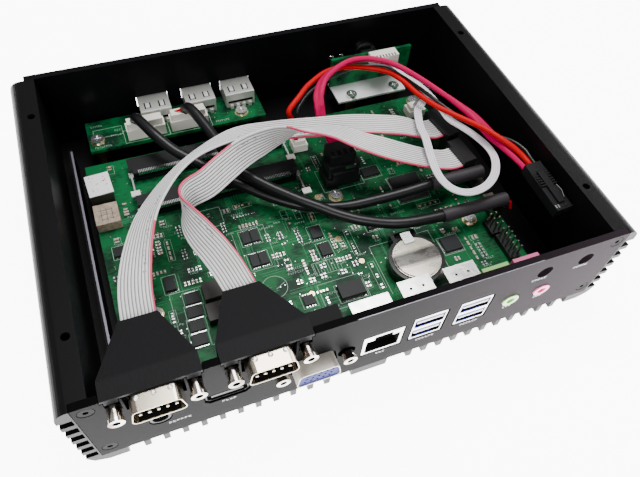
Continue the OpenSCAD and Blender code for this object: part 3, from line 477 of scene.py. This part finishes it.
button_route = [
    (63.8, 57.7, 33), (63.5, 54, 34.4), (63.5, 49.7, 35.5), (65.8, 41.4, 36.4), (69.5, 34, 36.4),
    (71.5, 25.3, 36.4), (72.8, 16.6, 36), (73.6, 9.3, 35.4), (76.9, 3.4, 35), (80.1, -3.4, 34.8),
    (82.1, -11.6, 34.8), (81.3, -18.7, 34.8), (77.3, -25.5, 34.8), (71.5, -30, 34.6),
    (65.4, -31.7, 34.4), (60.1, -31, 34.2), (55.9, -27.5, 34), (53.9, -22.2, 34), (53.7, -16, 34.4),
    (54.8, -9, 35), (57.1, 1.2, 36), (57.8, 7.5, 36.2), (60.6, 15.5, 35.6),
    (63.3, 20.4, 34.6), (68, 25, 33.4), (71.6, 29.4, 31), (72.6, 33.4, 27), (72.5, 36, 21.6)]

ribbon_section = ribbed_section(RIBBON_W, 1.0, 10)
# groove: painted shade in the low lines between the wires
ribbon_marks = {"edge": stripe, "edge_from": 5.1, "groove": ribbon_groove_shade}
cable_section = round_section(PORT_CABLE_D, 18)
flat_data = [(-2.3, -0.7), (-1.9, -1.1), (-0.4, -1.1), (0, -0.85), (0.4, -1.1), (1.9, -1.1), (2.3, -0.7),
             (2.3, 0.7), (1.9, 1.1), (0.4, 1.1), (0, 0.85), (-0.4, 1.1), (-1.9, 1.1), (-2.3, 0.7)]
ribbon_1_path = lead("ribbon_lead_1", ribbon_1_route, ribbon_section, ribbon, "ribbon_grey", RIBBON_W,
                     "ribbon_cable_1", pieces=[nodes["ribbon_sockets"]], plain=(0.2, 0.46), **ribbon_marks)
ribbon_2_path = lead("ribbon_lead_2", ribbon_2_route, ribbon_section, ribbon, "ribbon_grey", RIBBON_W,
                     "ribbon_cable_2", plain=(0.4, 0.58), **ribbon_marks)
lead("port_lead_1", port_cable_1_route, cable_section, jacket, "cable_black", PORT_CABLE_D,
     "port_cable_1", pieces=[nodes["cable_sleeves"]])
lead("port_lead_2", port_cable_2_route, cable_section, jacket, "cable_black", PORT_CABLE_D,
     "port_cable_2")
lead("data_lead", data_route, flat_data, magenta, "data_magenta", DATA_CABLE_W,
     "drive_data_cable", pieces=[nodes["combo_plug"]])
lead("red_lead", red_route, round_section(RED_WIRE_D), wire_red, "wire_red", RED_WIRE_D,
     "power_wire_red", "limp")
lead("black_lead", black_route, round_section(BLACK_WIRE_D), wire_black, "wire_black", BLACK_WIRE_D,
     "power_wire_black", "limp")
lead("button_lead", button_route, ribbed_section(BUTTON_CABLE_W, 1.0, 4), wire_white, "wire_white",
     BUTTON_CABLE_W, "button_cable", "limp", groove=soft_groove_shade)

# Dark print along the striped edge of each ribbon lead
dashes = Batch("ribbon_print", dot_dark, "plug_black")
printed = [*range(14, 34), *range(60, 84)]
for path, route in ((ribbon_1_path, ribbon_1_route), (ribbon_2_path, ribbon_2_route)):
    for i in printed:
        if i + 1 >= len(path) or rng.random() < 0.3:
            continue
        a, b = Vector(path[i]) / MM, Vector(path[i + 1]) / MM
        k, part = i // ROUTE_STEPS, i % ROUTE_STEPS / ROUTE_STEPS
        last = len(route) - 1
        t, w, n = banked(a, b, route[min(k, last)][3] * (1 - part) + route[min(k + 1, last)][3] * part)
        for side in (-1, 1):
            for u in (3.2, 4.0):
                if rng.random() < 0.55:
                    c = a + w * (u + rng.uniform(-0.2, 0.2)) + n * side * 0.5
                    dashes.rod(c - t * rng.uniform(0.2, 0.5), c + t * rng.uniform(0.2, 0.5), 0.09, 5)
dashes.done()

# ---------- stage and light ----------
floor_mesh = bpy.data.meshes.new("floor")
floor_half, floor_z = 3, -0.0002
corners = [(x * floor_half, y * floor_half, floor_z) for x, y in ((-1, -1), (1, -1), (1, 1), (-1, 1))]
floor_mesh.from_pydata(corners, [], [(0, 1, 2, 3)])
floor_look = new_material("floor_white", (0.95, 0.95, 0.95), 0.7, specular=0.1)
shader(floor_look).inputs["Emission Color"].default_value = (1, 1, 1, 1)
shader(floor_look).inputs["Emission Strength"].default_value = 9
floor_mesh.materials.append(floor_look)
floor = bpy.data.objects.new("floor", floor_mesh)
bpy.context.scene.collection.objects.link(floor)

world = bpy.data.worlds.new("world")
world.use_nodes = True
world.node_tree.nodes["Background"].inputs["Color"].default_value = (1, 1, 1, 1)
world.node_tree.nodes["Background"].inputs["Strength"].default_value = 0.45
bpy.context.scene.world = world


def area_light(name, place, aim, size, power):
    data = bpy.data.lights.new(name, "AREA")
    data.size = size
    data.energy = power
    obj = bpy.data.objects.new(name, data)
    bpy.context.scene.collection.objects.link(obj)
    obj.location = place
    obj.rotation_euler = (Vector(aim) - Vector(place)).to_track_quat("-Z", "Y").to_euler()


area_light("overhead", (0.1, 0.2, 0.8), (0, 0, 0), 0.4, 7)
area_light("front_fill", (-0.3, -0.7, 0.5), (0, -0.05, 0), 0.4, 4)
area_light("right_low", (0.8, 0.3, 0.25), (0.08, 0.05, 0.03), 0.35, 4)

# ---------- parts and marks on the boards ----------
# x, y, width, depth, height of each chip
CHIPS = [
    (-57.7, -33, 5.6, 4.8, 1.1), (-58.3, -39, 5.6, 4.8, 1.1), (-58.8, -45, 5.6, 4.8, 1.1),
    (-59.3, -51, 5.6, 4.8, 1.1), (-29.9, -12, 3.4, 6, 1.1), (-26.1, -12, 3.4, 6, 1.1),
    (-29.8, -24, 3.4, 6, 1.1), (-26, -24, 3.4, 6, 1.1), (-1.2, -18.6, 4.6, 6, 1.2),
    (-0.4, -28, 4.6, 6, 1.2), (51.5, -42.5, 8, 7, 1.4), (2.3, -49.8, 10.4, 6.4, 2.2),
    (-15.2, -48.5, 4.4, 4.4, 0.9), (-79.6, -2.5, 5, 4.6, 1.1), (-73.4, -2, 5, 4.6, 1.1),
    (-77, -14, 4.4, 3.6, 1), (-64.5, -24, 4, 6.6, 1.4), (48, -8, 14, 14, 1.4),
    (35, 6, 8, 5, 1.2), (24, -22, 6, 5, 1.2)]
# x0, x1, y0, y1 of what small parts keep clear of
KEEP = [
    (-71, 6, 9.5, 46), (-88, -75.5, 8, 40), (-56, -43.5, -49, -28), (17, 46, -61, -31.5),
    (10, 30, 0.5, 14.5), (68, 79, -60, -35), (68, 79, -14, 24), (73, 81, -37, -10),
    (4, 14, 26, 36), (66, 79, 31.5, 40.5), (-76, -69, -39, -31), (11, 18.5, -6, 1.5),
    (72.5, 80, 40.5, 47.5), (62.5, 69.5, -36.5, -29.5), (-32, -20, -44.5, -32), (-86, -62, -80, -56),
    (-64, 80, -80, -57.5)]
KEEP += [(x - w / 2 - 1.2, x + w / 2 + 1.2, y - d / 2 - 1.4, y + d / 2 + 1.4) for x, y, w, d, _ in CHIPS]


def clear(x0, x1, y0, y1):
    return all(x1 < a or x0 > b or y1 < c or y0 > d for a, b, c, d in KEEP)


pins = Batch("chip_pins", solder, "steel")
silk = Batch("board_print", white_paint, "nylon_white")


def outline(x0, x1, y0, y1, z=TOP, w=0.16):
    silk.box(x0, x1, y0, y0 + w, z, z + PRINT)
    silk.box(x0, x1, y1 - w, y1, z, z + PRINT)
    silk.box(x0, x0 + w, y0, y1, z, z + PRINT)
    silk.box(x1 - w, x1, y0, y1, z, z + PRINT)


def scribble(x, y, w, h, z=TOP):
    """A row of letter-like strokes that spell nothing."""
    c = x
    while c < x + w:
        a = rng.uniform(0.45, 0.8)
        silk.box(c, c + 0.14, y, y + h, z, z + PRINT)
        for v in rng.sample((0.0, 0.45, 0.9), 2):
            silk.box(c, c + a, y + h * v, y + h * v + 0.14, z, z + PRINT)
        c += a + 0.35


for x, y, w, d, _ in CHIPS:
    count = max(3, round(w / 0.8)) if w > 5 else 4
    for k in range(count):
        px = x - w / 2 + (k + 0.5) * w / count
        for s in (-1, 1):
            pins.box(px - 0.22, px + 0.22, y + s * d / 2 - 0.75, y + s * d / 2 + 0.75, TOP, TOP + 0.28)
    if w > 7 and d > 6.5:
        for k in range(round(d / 0.8)):
            py = y - d / 2 + 0.4 + k * 0.8
            for s in (-1, 1):
                pins.box(x + s * w / 2 - 0.75, x + s * w / 2 + 0.75, py - 0.2, py + 0.2, TOP, TOP + 0.28)
    outline(x - w / 2 - 0.9, x + w / 2 + 0.9, y - d / 2 - 1.1, y + d / 2 + 1.1)

bodies = [Batch("ceramic_parts", ceramic, "inductor"), Batch("resistor_parts", resistor, "chip_black")]
ends = Batch("part_ends", solder, "steel")


def small_part(x, y, along_x, which, size=1.0):
    """One two-ended part: a body, and a soldered end at each end of its run."""
    a, b = (0.95 * size, 0.48 * size) if along_x else (0.48 * size, 0.95 * size)
    high = TOP + (0.55 * size if which == 0 else 0.35 * size)
    in_x, in_y = (0.6, 1) if along_x else (1, 0.6)
    bodies[which].box(x - a * in_x, x + a * in_x, y - b * in_y, y + b * in_y, TOP, high)
    for s in (-1, 1):
        if along_x:
            mid = x + s * a * 0.8
            ends.box(mid - 0.28, mid + 0.28, y - b * 1.05, y + b * 1.05, TOP, high + 0.04)
        else:
            mid = y + s * b * 0.8
            ends.box(x - a * 1.05, x + a * 1.05, mid - 0.28, mid + 0.28, TOP, high + 0.04)


# Rows of small parts at free places, more of them near the pin header and the left edge
ROWS = 135
MOST_TRIES = 4000
placed = 0
tries = 0
while placed < ROWS and tries < MOST_TRIES:
    tries += 1
    spot = rng.random()
    if spot < 0.3:
        x, y = rng.uniform(44, 70), rng.uniform(-56, -18)
    elif spot < 0.55:
        x, y = rng.uniform(-84, -34), rng.uniform(-56, 8)
    elif spot < 0.7:
        x, y = rng.uniform(-22, 22), rng.uniform(-56, -8)
    else:
        x, y = rng.uniform(-84, 78), rng.uniform(-56, 46)
    n = rng.randint(2, 6)
    row_x = rng.random() < 0.5
    along_x = rng.random() < 0.5
    pitch = 1.5 if row_x != along_x else 2.6
    x1, y1 = (x + n * pitch, y + 2) if row_x else (x + 2, y + n * pitch)
    if x1 > 79.5 or y1 > 47 or not clear(x - 1, x1, y - 1, y1):
        continue
    which = 0 if rng.random() < 0.6 else 1
    for k in range(n):
        if rng.random() < 0.88:
            at_x, at_y = (x + k * pitch, y) if row_x else (x, y + k * pitch)
            small_part(at_x, at_y, along_x, which, rng.choice((0.8, 0.8, 1.0)))
    if rng.random() < 0.5:
        scribble(x, y - 1.9, min(3.2, n * pitch), 0.8)
    if rng.random() < 0.3:
        outline(x - 1.2, x1 - 0.4, y - 1.1, y1 - 0.6, w=0.12)
    KEEP.append((x - 1, x1, y - 1.2, y1))
    placed += 1
for b in bodies:
    b.done()

tracks = Batch("board_tracks", track_green, "board_green")
dark_tracks = Batch("board_gaps", gap_green, "board_green")
for _ in range(150):
    x, y = rng.uniform(-84, 70), rng.uniform(-58, 44)
    across = rng.random() < 0.5
    long_, n = rng.uniform(4, 20), rng.randint(2, 6)
    for k in range(n):
        a = long_ * rng.uniform(0.75, 1)
        x0, y0 = (x, y + 0.55 * k) if across else (x + 0.55 * k, y)
        x1, y1 = (x0 + a, y0 + 0.16) if across else (x0 + 0.16, y0 + a)
        if x1 < 80 and y1 < 47.5:
            (tracks if rng.random() < 0.6 else dark_tracks).box(x0, x1, y0, y1, TOP, TOP + 0.012)
tracks.done()
dark_tracks.done()
holes = Batch("board_vias", solder, "steel")
for _ in range(420):
    x, y = rng.uniform(-85, 79), rng.uniform(-58, 46)
    holes.box(x - 0.16, x + 0.16, y - 0.16, y + 0.16, TOP, TOP + 0.02)
for _ in range(60):
    x, y = rng.uniform(-81, -1), rng.uniform(53.8, 71)
    holes.box(x - 0.16, x + 0.16, y - 0.16, y + 0.16, REAR_TOP, REAR_TOP + 0.02)
for k in range(5):
    holes.rod((-76 + 2 * k, 56.5, REAR_TOP), (-76 + 2 * k, 56.5, REAR_TOP + 0.06), 0.45)
holes.done()

# Printed circle with a spoke, a row of bars, frames and rows of strokes
silk.ring(-25.9, -38.3, TOP, 5, 0.2, PRINT)
silk.box(-25.9, -21.2, -38.5, -38.25, TOP, TOP + PRINT, 0.5)
for k in range(9):
    silk.box(-8 + 1.2 * k, -7.85 + 1.2 * k, -38.5, -33.2, TOP, TOP + PRINT)
outline(-8.6, 3.2, -39, -32.8)
outline(-10, 9, -56, -43)
outline(10.6, 30.4, 0.8, 14.2)
outline(17.5, 45.5, -60, -32.5)
outline(-66, -42.6, -54.5, -28.4)
outline(-35, -21, -29, -7)
outline(-45, -36, -2, 8)
for _ in range(14):
    scribble(rng.uniform(-70, 60), rng.uniform(-56, 6), rng.uniform(3, 7), 0.9)
for x, y, w in ((-19, -33, 9), (-19, -35, 7), (34, -20, 6), (30, 20, 8), (40, 30, 6), (-80, -22, 5)):
    scribble(x, y, w, 1.0)
for x, y, w in ((-80, 68, 5), (-80, 54.2, 7), (-72, 60, 4), (-70, 63, 3), (-24, 55, 6), (-12, 68, 8)):
    scribble(x, y, w, 1.0, REAR_TOP)
outline(-79.5, -66.5, 60.5, 66, REAR_TOP)
outline(-66.5, -46, 53.6, 62, REAR_TOP)
outline(-46, -26, 53.6, 62, REAR_TOP)
silk.ring(*REAR_SCREW_AT[0], REAR_TOP, 3, 0.25, PRINT)
silk.done()

pads = Batch("gold_pads", gold, "brass")
for x, y, r in ((6.9, -0.3, 1.5), (6.8, -24.5, 1.5), (-13, -46, 1.2), (12, -38, 1.2), (-66, 4, 1.2)):
    pads.rod((x, y, TOP), (x, y, TOP + 0.05), r, 20)
for x, y in REAR_SCREW_AT:
    pads.ring(x, y, REAR_TOP, 2.75, 0.5, 0.05)
for x, y in SCREW_AT:
    pads.ring(x, y, TOP, 2.75, 0.6, 0.05)
pads.done()
pins.done()
ends.done()

# Contacts of the memory sockets, and the pale grips on their latches
contacts = Batch("memory_contacts", solder, "steel")
for y0, y1 in ((33, 42.5), (12, 20.5)):
    for k in range(88):
        x = -64.5 + 0.72 * k
        if not -38 < x < -35.5:
            contacts.box(x - 0.19, x + 0.19, y0 + 0.15, y0 + 1.7, 21.2, 21.26)
            contacts.box(x - 0.19, x + 0.19, y0 - 0.06, y0, 19.7, 21.2)
            contacts.box(x - 0.19, x + 0.19, y1, y1 + 1, TOP, TOP + 0.3)
contacts.done()
for k, y in ((1, 33), (2, 12)):
    for side, x in (("left", -68), ("right", 2)):
        which = "%d_%s" % (k, side)
        grip = Batch("latch_grip_" + which, nylon, "nylon_white", "memory_latch_" + which)
        grip.box(x - 1.9, x + 1.9, y - 12.2, y - 9.2, 20.12, 20.7)
        grip.done()

# Tan cover on one block, and a sticker with dots on the other
block = Batch("tan_block", tan_part, "inductor")
block.box(-86.3, -76.5, 9.9, 20.7, TOP, 20.65)
block.done()
label = Batch("sticker", sticker, "nylon_white")
label.box(-86.9, -76.8, 25.4, 37.6, 21.22, 21.3, 0.06)
label.done()
for name, look in (("label_dots_dark", dot_dark), ("label_dots_red", dot_red)):
    dots = Batch(name, look, "plug_black")
    for _ in range(9):
        x, y, a = rng.uniform(-85.5, -78.5), rng.uniform(26.8, 36), rng.uniform(0.15, 0.45)
        dots.box(x, x + a, y, y + a * 1.3, 21.3, 21.33)
    dots.done()
grid = Batch("block_print", dot_dark, "chip_black")
for k in range(3):
    grid.box(-84.5, -78.5, 12.3 + 2.4 * k, 12.5 + 2.4 * k, 20.65, 20.68)
    grid.box(-83.6 + 2.2 * k, -83.4 + 2.2 * k, 11.6, 18.4, 20.65, 20.68)
grid.done()

# Windows (black patches of painted shade), springs and legs of the rear ports; dimples of the serial
# shells
tabs = Batch("port_tabs", bright_plate, "shield_tin")
# black patches of painted shade for the windows, holes and backs of the ports
gaps = Batch("port_window_shade", painted_hole_shade, "socket_black")
for x in REAR_PORT_X:
    for s in (-1, 1):
        gaps.box(x + s * 3.3 - 1.5, x + s * 3.3 + 1.5, 65.4, 69.4, 27.0, 27.04)
        tabs.box(x + s * 3.3 - 0.9, x + s * 3.3 + 0.9, 65.6, 68.8, 27.04, 27.5)
    for k in range(4):
        tabs.box(x - 5.4 + 3 * k, x - 3.9 + 3 * k, 61.4, 62.97, REAR_TOP, REAR_TOP + 2.4)
    # dark strip of painted shade along the inner face of the port stack
    gaps.box(x - 6, x + 6, 62.9, 62.98, 22.2, 23.4)
    tabs.box(x - 6.9, x + 6.9, 63.05, 63.6, 27.0, 27.35)
for x in SERIAL_X:
    for k in (-1, 0, 1):
        tabs.rod((x + 5 * k, -78.3, 45.75), (x + 5 * k, -78.3, 46.6), 1.0, 14, 0.45)

# Dark holes and backs of the front ports, as black patches of painted shade
for x in DATA_X:
    for s in (-1, 1):
        gaps.rod((x + s * 2.6, -64.4, 31.8), (x + s * 2.6, -64.4, 31.84), 0.55)
    for z in DATA_Z:
        gaps.box(x - DATA_HALF, x + DATA_HALF, -65.2, -65.1, z + 0.1, z + 5.9)
        tabs.box(x - DATA_HALF, x - 5.4, -76.6, -66, z + 0.15, z + 0.4)
gaps.box(-3.7, 9.1, PORT_BACK_Y, -64.6, 17.3, 25.9)
tabs.done()
gaps.done()

# Painted shade: dark sheets lining the port openings and the serial shells
SHADE_LINING = 0.08
liner = Batch("port_liner_shade", painted_hole_shade, "socket_black")
lan_left, lan_right = LAN_X
liner.box(lan_left, lan_right, -76.5, PORT_BACK_Y, 17.3 - SHADE_LINING, 17.3)
liner.box(lan_left, lan_right, -76.5, PORT_BACK_Y, 25.9, 25.9 + SHADE_LINING)
liner.box(lan_left - SHADE_LINING, lan_left, -76.5, PORT_BACK_Y, 17.3, 25.9)
liner.box(lan_right, lan_right + SHADE_LINING, -76.5, PORT_BACK_Y, 17.3, 25.9)
for x in DATA_X:
    for z in DATA_Z:
        liner.box(x - 6.15, x + 6.15, -76.3, -65, z + 0.1 - SHADE_LINING, z + 0.1)
        liner.box(x - 6.19, x - 6.12, -76.3, -65, z + 0.1, z + 5.9)
        liner.box(x + 6.12, x + 6.19, -76.3, -65, z + 0.1, z + 5.9)
for x in SERIAL_X:
    liner.box(x - 6.5, x + 6.5, -82.4, -76.6, 37.6 - SHADE_LINING, 37.6)
liner.done()

# Pale contact strips on the tongues, gold contacts in the network port
strip = Batch("tongue_contacts", nylon, "nylon_white")
for x in DATA_X:
    for z in DATA_Z:
        strip.box(x - 5.4, x + 5.4, -76.76, -76.69, z + 3.2, z + 4.1)
strip.done()
touch = Batch("lan_contacts", gold, "brass")
for k in range(8):
    touch.box(-1.1 + 1.02 * k, -0.8 + 1.02 * k, -76, -68, 25.3, 25.6)
touch.done()

# Print on the front panel: strokes that spell nothing
marks = Batch("panel_print", print_grey, "nylon_white")
for x, z, n in ((-77, 13.7, 6), (-58, 16.9, 4), (1, 13.6, 3), (18, 13.4, 6), (37.5, 13.4, 6),
                (56, 16.4, 3), (70.5, 16.4, 3), (63.5, 32.2, 5), (82.5, 32.2, 5)):
    for k in range(n):
        c = x + 1.35 * k
        marks.box(c, c + 0.22, PANEL_Y - PRINT, PANEL_Y, z, z + 1.25)
        for v in rng.sample((0.0, 0.5, 1.0), 2):
            marks.box(c, c + 0.9, PANEL_Y - PRINT, PANEL_Y, z + v, z + v + 0.22)
marks.done()

# Bare metal edges with a painted highlight where they catch the light: the front panel's top edge and the
# left rail
bare = Batch("lit_bare_edges", lit_bare_edge, "steel")
bare.box(-10, 63, PANEL_Y, -76.75, RIM_Z, RIM_Z + PRINT)
bare.box(-90.5, -89.65, -54, 54, 21.5, 21.56)
bare.box(-89.78, -89.7, -54, 54, 18.5, 21.5)
bare.done()

# Wire ends at the plugs and sleeves, ribs and metal of the drive plugs, and dark strips of painted shade
# in the slots of the headers
bits = {"red": Batch("red_ends", wire_red, "wire_red"),
        "white": Batch("white_ends", wire_white, "wire_white"),
        "black": Batch("black_ends", wire_black, "wire_black")}
for pin_x, cable_x in ((-62.2, -59.6), (-42.4, -37.2)):
    for k, tint in enumerate(("red", "red", "white", "black")):
        bits[tint].rod((pin_x + 1.5 * k, 58.6, 28.0), (cable_x + 0.5 * k - 0.5, 56.4, 30.9), 0.45, 8)
bits["red"].rod((80.6, -34, 25.9), (83, -35.2, 24), 0.6, 10)
bits["red"].rod((83, -35.2, 24), (83.8, -36, 20.5), 0.6, 10)
bits["black"].rod((78, -16.8, 26.4), (80.6, -17.8, 22.5), 0.6, 10)
for b in bits.values():
    b.done()
ribs = Batch("plug_ribs", plastic, "plug_black")
for k in range(7):
    ribs.box(87.2, 94.3, -35 - 1.3 * k, -34.4 - 1.3 * k, 40.2, 41.5)
ribs.done()
clip = Batch("plug_metal", mirror_steel, "steel")
clip.rod((92.6, -44, 42.4), (93.6, -47, 41.8), 0.16, 6)
clip.rod((93.6, -47, 41.8), (93.2, -51, 40.2), 0.16, 6)
for k in range(5):
    clip.box(87.6 + 1.25 * k, 88.2 + 1.25 * k, -53.6, -52, 39.2, 39.8)
clip.box(20.4, 25.4, 2.7, 3.1, 26.4, 28.1)
clip.box(-47.5, -47, -62, -57, TOP, TOP + 6)
clip.done()
# painted shade: dark strips in the slots of the headers
slot_shade = Batch("header_slot_shade", painted_hole_shade, "socket_black")
for k in range(8):
    slot_shade.box(57.5 + 1.6 * k, 58.1 + 1.6 * k, 57.25, 59.2, 36.6, 36.66)
for k in range(4):
    slot_shade.box(14.6 + 2.9 * k, 16.2 + 2.9 * k, 5.2, 8, 33.6, 33.64)
slot_shade.done()
